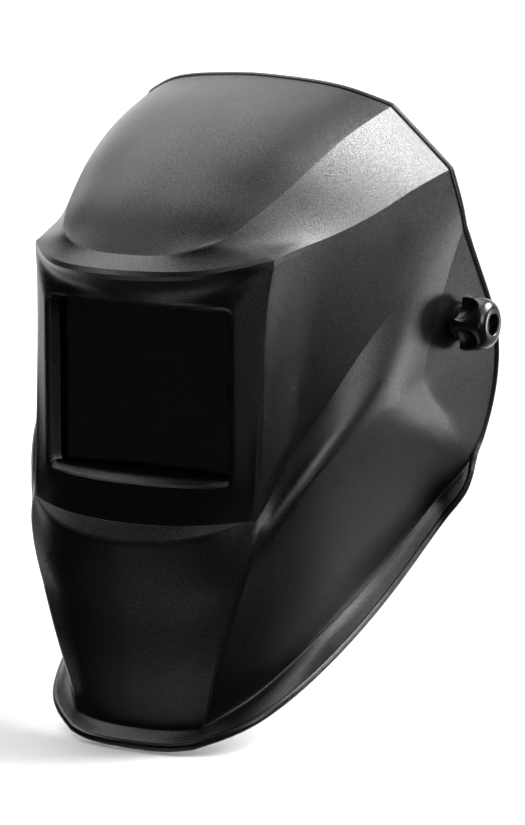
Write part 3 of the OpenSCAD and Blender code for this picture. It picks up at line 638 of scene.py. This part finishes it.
def rounded_outline(width, height, radius, steps):
    """Points of a rounded rectangle in its own plane."""
    points = []
    for cx, cz, turn in ((1, 1, 0), (-1, 1, 90), (-1, -1, 180), (1, -1, 270)):
        for k in range(steps + 1):
            angle = math.radians(turn + 90 * k / steps)
            points.append((cx * (width / 2 - radius) + radius * math.cos(angle),
                           cz * (height / 2 - radius) + radius * math.sin(angle)))
    return points


def plate_faces(count):
    """Faces of a flat plate: one outline of points, then the same outline at its other side."""
    faces = [tuple(range(count - 1, -1, -1)), tuple(range(count, 2 * count))]
    return faces + [(k, (k + 1) % count, (k + 1) % count + count, k + count) for k in range(count)]


def make_lens():
    low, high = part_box("front_cover_lens")
    z = (low.z + high.z) / 2
    outline = rounded_outline(LENS_W, LENS_H, LENS_ROUND, LENS_CORNER_STEPS)
    verts = [(x, y, z + h) for y in (low.y, high.y) for x, h in outline]
    lens = new_object("cover_lens", verts, plate_faces(len(outline)))
    face_outward(lens)
    crisp(lens, LENS_EDGE_ANGLE, LENS_EDGE_R)
    piece(lens, "shell_unit", DARK_LENS, "clear_lens", "front_cover_lens")


make_lens()

# ---------------------------------------------------------------- tension knobs
# Millimetres from the knob's inner end and from its axis
KNOB_BASE_R, KNOB_TAPER, KNOB_ROUND, KNOB_LONG = 14.8, 3.6, 3.5, 15.5
SCOOP_COUNT, SCOOP_OUT, SCOOP_R, SCOOP_X, SCOOP_TURN = 5, 20.3, 10.5, 4.0, math.radians(23)
RECESS_R, RECESS_FLOOR, BOLT_HOLE_R, NUT_HOLE_R, NUT_FLOOR = 5.6, 10.5, 4.4, 6.5, 8.1
# Rings of the flat end and of the rounded edge of its recess: depth below the end, radius
KNOB_END = ((0, 7.4), (0, 7.0), (0, 6.5), (0.25, 5.9), (0.6, RECESS_R))
KNOB_AROUND, KNOB_ALONG = 300, 60
KNOB_EDGE_ANGLE, KNOB_EDGE_R = 24, 0.12 * MM


def knob_radius(x):
    """Outside radius of the knob without its scoops, along its length."""
    radius = KNOB_BASE_R - KNOB_TAPER * (x / KNOB_LONG) ** 2
    into_rounding = KNOB_ROUND - (KNOB_LONG - x)
    if into_rounding > 0:
        radius -= KNOB_ROUND - math.sqrt(max(KNOB_ROUND ** 2 - into_rounding ** 2, 0))
    return radius


def scooped(x, angle, radius):
    """Radius once the nearest ball-shaped scoop is cut away."""
    step = 2 * math.pi / SCOOP_COUNT
    off = (angle - SCOOP_TURN + step / 2) % step - step / 2
    inside = SCOOP_R ** 2 - (x - SCOOP_X) ** 2 - (SCOOP_OUT * math.sin(off)) ** 2
    if inside <= 0:
        return radius
    return min(radius, SCOOP_OUT * math.cos(off) - math.sqrt(inside))


def make_knob(name, side, node, body):
    """A knob turned about the pivot axis, with a recess for the bolt's end and a socket for the nut."""
    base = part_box(node)[0].x if side > 0 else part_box(node)[1].x
    places = [KNOB_LONG * k / KNOB_ALONG for k in range(KNOB_ALONG + 1)]
    rings = [(0.0, NUT_HOLE_R, False)]
    rings += [(x, knob_radius(x), True) for x in places]
    rings += [(KNOB_LONG - depth, radius, False) for depth, radius in KNOB_END]
    rings += [(RECESS_FLOOR, RECESS_R, False), (RECESS_FLOOR, BOLT_HOLE_R, False)]
    rings += [(NUT_FLOOR, BOLT_HOLE_R, False), (NUT_FLOOR, NUT_HOLE_R, False)]
    verts, faces = [], []
    for x, radius, scoop in rings:
        for k in range(KNOB_AROUND):
            angle = 2 * math.pi * k / KNOB_AROUND
            r = scooped(x, angle, radius) if scoop else radius
            verts.append((base + side * x * MM, r * MM * math.sin(angle), r * MM * math.cos(angle)))
    for k in range(len(rings)):
        a, b = k * KNOB_AROUND, (k + 1) % len(rings) * KNOB_AROUND
        for j in range(KNOB_AROUND):
            j2 = (j + 1) % KNOB_AROUND
            ring = (a + j, a + j2, b + j2, b + j)
            faces.append(ring if side > 0 else ring[::-1])
    knob = new_object(name, verts, faces)
    face_outward(knob)
    crisp(knob, KNOB_EDGE_ANGLE, KNOB_EDGE_R)
    piece(knob, body, KNOB_GLOSS, "knob_plastic", node)


make_knob("knob_left", 1, "tension_knob_left", "knob_left")
make_knob("knob_right", -1, "tension_knob_right", "knob_right")

# ---------------------------------------------------------------- padding
BAND_HALF_W, BAND_HALF_L, BAND_Y = 80, 95, 10
# First and last angle on the headband's oval, nearest and farthest distance from its inside face,
# half height, steps along the pad
BROW_ARC = (206, 334, -4.9, -0.5, 15, 60)
NAPE_ARC = (64, 116, -7.4, -0.7, 21, 30)
PROFILE_POINTS, PROFILE_ROUND, PROFILE_SQUARE = 16, 0.6, 0.35
CROWN_PAD_INSET, CROWN_PAD_ROUND, CROWN_PAD_STEPS = 0.5 * MM, 9 * MM, 6
PRESSURE, CLOTH_FRAMES, NO_MOVE = 4.0, 20, 1e-9


def oval_point(angle, out):
    """Point at a distance outside the headband's inside face, in millimetres."""
    return (BAND_HALF_W + out) * math.cos(angle), BAND_Y + (BAND_HALF_L + out) * math.sin(angle)


def swell(obj, cap):
    """Blows the closed cloth up a little; no point moves farther than the cap."""
    start = np.empty(len(obj.data.vertices) * 3)
    obj.data.vertices.foreach_get("co", start)
    cloth = obj.modifiers.new("cloth", "CLOTH")
    cloth.settings.use_pressure = True
    cloth.settings.uniform_pressure_force = PRESSURE
    cloth.settings.effector_weights.gravity = 0.0
    cloth.point_cache.frame_start, cloth.point_cache.frame_end = 1, CLOTH_FRAMES
    for step in range(1, CLOTH_FRAMES + 1):
        bpy.context.scene.frame_set(step)
    apply_modifiers(obj)
    swollen = np.empty_like(start)
    obj.data.vertices.foreach_get("co", swollen)
    move = (swollen - start).reshape(-1, 3)
    reach = np.linalg.norm(move, axis=1, keepdims=True)
    move *= np.minimum(1.0, cap / np.maximum(reach, NO_MOVE))
    obj.data.vertices.foreach_set("co", (start.reshape(-1, 3) + move).astype(np.float32).ravel())
    obj.data.update()
    bpy.context.scene.frame_set(1)


def soft(obj, voxel, cap):
    """Gives the pad an even mesh, lets it swell a little as cloth does, then smooths it."""
    remesh = obj.modifiers.new("remesh", "REMESH")
    remesh.mode = "VOXEL"
    remesh.voxel_size = voxel
    apply_modifiers(obj)
    swell(obj, cap)
    subdivide(obj, 1)
    smooth(obj.data)
    return obj


def curved_pad(name, first, last, near, far, half_h, steps):
    """A closed pad that follows the headband's oval between two angles, with rounded edges."""
    profile = []
    mid, thick = (near + far) / 2, (far - near) / 2
    for k in range(PROFILE_POINTS):
        angle = 2 * math.pi * k / PROFILE_POINTS
        c, t = math.cos(angle), math.sin(angle)
        profile.append((mid + thick * math.copysign(abs(c) ** PROFILE_ROUND, c),
                        half_h * math.copysign(abs(t) ** PROFILE_SQUARE, t)))
    verts = []
    for k in range(steps + 1):
        angle = math.radians(first + (last - first) * k / steps)
        for out, z in profile:
            x, y = oval_point(angle, out)
            verts.append((x * MM, y * MM, z * MM))
    obj = new_object(name, verts, tube_faces(len(profile), steps))
    face_outward(obj)
    return obj


def flat_pad(name, node):
    """A flat pad with round corners that fills the node's box but for a small inset."""
    low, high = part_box(node)
    size, middle = high - low, (high + low) / 2
    outline = rounded_outline(size.x - 2 * CROWN_PAD_INSET, size.y - 2 * CROWN_PAD_INSET, CROWN_PAD_ROUND,
                              CROWN_PAD_STEPS)
    verts = [(middle.x + x, middle.y + y, z)
             for z in (low.z + CROWN_PAD_INSET, high.z - CROWN_PAD_INSET) for x, y in outline]
    return new_object(name, verts, plate_faces(len(outline)))


def make_pads():
    brow_pad = soft(curved_pad("brow_pad", *BROW_ARC), 2.4 * MM, 1.2 * MM)
    piece(brow_pad, "headgear", TOWEL, "towelling", "sweatband")
    nape_pad = soft(curved_pad("nape_pad", *NAPE_ARC), 2.8 * MM, 1.5 * MM)
    piece(nape_pad, "rear_cradle", TOWEL, "towelling", "rear_pad")
    top_pad = soft(flat_pad("top_pad", "crown_pad"), 2.0 * MM, 1.0 * MM)
    piece(top_pad, "headgear", TOWEL, "towelling", "crown_pad")


make_pads()

# ---------------------------------------------------------------- headband tails
TAIL_IN, TAIL_OUT, TAIL_HALF_H = 2.4, 4.0, 8.0
TAIL_FIRST, TAIL_LAST, TAIL_STEP = 16, 84, 0.5
TAIL_EDGE_ANGLE, TAIL_EDGE_R = 40, 0.3 * MM


def make_tail(name, side, node):
    """A plain tail of the headband along the oval."""
    section = [(TAIL_IN, -TAIL_HALF_H), (TAIL_OUT, -TAIL_HALF_H),
               (TAIL_OUT, TAIL_HALF_H), (TAIL_IN, TAIL_HALF_H)]
    angles = [math.radians(a) for a in np.arange(TAIL_FIRST, TAIL_LAST, TAIL_STEP)]
    verts = []
    for angle in angles:
        for out, z in section:
            x, y = oval_point(angle, out)
            verts.append((side * x * MM, y * MM, z * MM))
    tail = new_object(name, verts, tube_faces(len(section), len(angles) - 1))
    face_outward(tail)
    crisp(tail, TAIL_EDGE_ANGLE, TAIL_EDGE_R)
    shade(tail, BAND_BLACK)
    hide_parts(node)
    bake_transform(tail)


make_tail("tail_left", 1, "rear_tail_left")
make_tail("tail_right", -1, "rear_tail_right")

# ---------------------------------------------------------------- camera
AZIMUTH, ELEVATION = math.radians(30), math.radians(10.5)
LENS_LENGTH, SENSOR_WIDTH, FARTHEST = 174.5, 36.0, 50.0
back = Vector((
    math.sin(AZIMUTH) * math.cos(ELEVATION),
    -math.cos(AZIMUTH) * math.cos(ELEVATION),
    math.sin(ELEVATION),
))
camera = bpy.data.objects.new("camera", bpy.data.cameras.new("camera"))
bpy.context.scene.collection.objects.link(camera)
camera.location = (1.037, -1.8155, 0.33)
camera.rotation_mode = "QUATERNION"
camera.rotation_quaternion = (-back).to_track_quat("-Z", "Y")
camera.data.lens = LENS_LENGTH
camera.data.sensor_width = SENSOR_WIDTH
camera.data.clip_end = FARTHEST
bpy.context.scene.camera = camera
bpy.context.scene.view_settings.view_transform = "Standard"

# ---------------------------------------------------------------- floor, backdrop and dome
FLOOR_HALF, FLOOR_DROP, FLOOR_ROUGHNESS, SET_WHITE = 1.4, 0.002, 0.9, (0.9, 0.9, 0.9, 1)
BACKDROP_REACH, BACKDROP_HALF, DOME_R, DOME_LEVELS = 8.0, 7.5, 14.0, 4


def square(name, centre, across, upward):
    """A flat square from its centre and two half sides."""
    corners = [centre + across * x + upward * y for x, y in ((-1, -1), (1, -1), (1, 1), (-1, 1))]
    return new_object(name, corners, [(0, 1, 2, 3)])


floor = square("floor", Vector((0, 0, 0)), Vector((FLOOR_HALF, 0, 0)), Vector((0, FLOOR_HALF, 0)))
floor.location.z = cad_box[0][2] - FLOOR_DROP
pale, _, shader = new_material("pale_floor")
shader.inputs["Base Color"].default_value = SET_WHITE
shader.inputs["Roughness"].default_value = FLOOR_ROUGHNESS
shade(floor, pale)
floor.visible_glossy = floor.visible_diffuse = False

white, _, shader = new_material("backdrop_white")
shader.inputs["Base Color"].default_value = SET_WHITE
shader.inputs["Emission Color"].default_value = (1, 1, 1, 1)
shader.inputs["Emission Strength"].default_value = 1.0

# A white backdrop square to the camera's view, behind the floor
side = back.cross(Vector((0, 0, 1))).normalized()
up = side.cross(back)
backdrop = square("backdrop", -back * BACKDROP_REACH, side * BACKDROP_HALF, up * BACKDROP_HALF)
shade(backdrop, white)

# A white dome that only the camera sees, so that every view has a white background
ball = bmesh.new()
bmesh.ops.create_icosphere(ball, subdivisions=DOME_LEVELS, radius=DOME_R)
dome = new_object("dome", [], [])
ball.to_mesh(dome.data)
ball.free()
dome.visible_diffuse = dome.visible_glossy = dome.visible_transmission = dome.visible_shadow = False
shade(dome, white)

# ---------------------------------------------------------------- light
# Soft lights around the studio: direction, radius of the bright middle and of the soft edge in degrees,
# radiance
GLOWS = [
    ((-0.38, 0.22, 0.90), 12, 42, 2.9),
    ((0.55, 0.60, 0.60), 6, 24, 20.0),
    ((0.60, 0.10, 0.80), 6, 36, 1.3),
    ((0.93, -0.22, 0.32), 3, 17, 6.0),
    ((0.66, 0.75, -0.10), 2, 9, 13.0),
    ((0.72, -0.68, -0.02), 2, 12, 1.0),
    ((0.15, 0.85, -0.50), 10, 48, 0.45),
    ((-0.10, -0.55, -0.83), 10, 42, 0.6),
]
AMBIENT = 0.03


def light_world():
    """Fills the world with the soft lights and the ambient light, added up by direction."""
    world = bpy.data.worlds.new("studio")
    bpy.context.scene.world = world
    world.use_nodes = True
    nodes, links = world.node_tree.nodes, world.node_tree.links
    place = nodes.new("ShaderNodeTexCoord").outputs["Generated"]
    total = None
    for direction, inner, outer, radiance in GLOWS:
        toward = nodes.new("ShaderNodeVectorMath")
        toward.operation = "DOT_PRODUCT"
        toward.inputs[1].default_value = Vector(direction).normalized()
        links.new(place, toward.inputs[0])
        falloff = nodes.new("ShaderNodeMapRange")
        falloff.interpolation_type = "SMOOTHSTEP"
        falloff.inputs["From Min"].default_value = math.cos(math.radians(outer))
        falloff.inputs["From Max"].default_value = math.cos(math.radians(inner))
        falloff.inputs["To Max"].default_value = radiance
        links.new(toward.outputs["Value"], falloff.inputs["Value"])
        add = nodes.new("ShaderNodeMath")
        add.operation = "ADD"
        links.new(falloff.outputs["Result"], add.inputs[0])
        if total is None:
            add.inputs[1].default_value = AMBIENT
        else:
            links.new(total, add.inputs[1])
        total = add.outputs["Value"]
    nodes["Background"].inputs["Color"].default_value = (1, 1, 1, 1)
    links.new(total, nodes["Background"].inputs["Strength"])


light_world()
